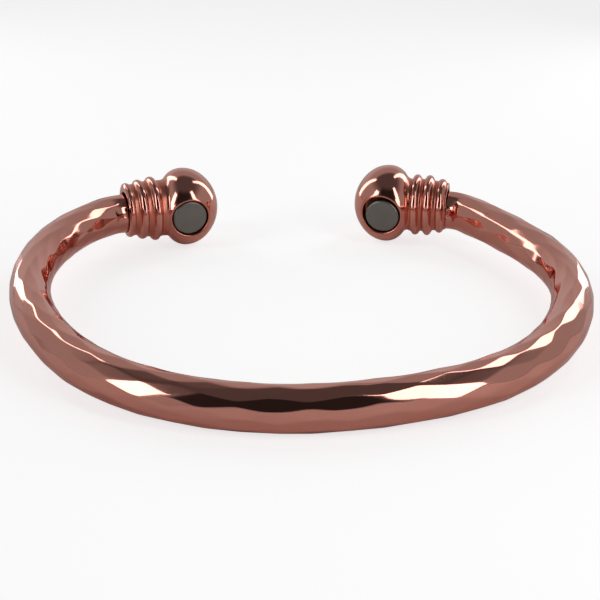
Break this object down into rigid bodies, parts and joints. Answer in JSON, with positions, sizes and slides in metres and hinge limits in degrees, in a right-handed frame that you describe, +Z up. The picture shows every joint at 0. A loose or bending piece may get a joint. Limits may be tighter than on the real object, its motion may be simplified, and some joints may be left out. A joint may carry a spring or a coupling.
{
  "type": "magnetic bracelet",
  "caption": "Open cuff bracelet of hammered round copper bar, with a ribbed ball cap on each end and a small disc magnet in each ball, facing the wrist.",
  "frame": {"origin": "middle of the footprint, on the surface that the cuff lies on", "axes": "+X along the cuff's width, towards the right end cap; +Y from the front of the bar towards the open gap at the back; +Z up"},
  "size_m": [0.0686, 0.0656, 0.0102],
  "materials": {
    "copper": "highly polished rose copper",
    "magnet": "dark grey plating, satin"
  },
  "bodies": {
    "root": {"bar": "copper", "end_cap_left": "copper", "end_cap_right": "copper", "magnet_left": "magnet", "magnet_right": "magnet"}
  },
  "joints": []
}
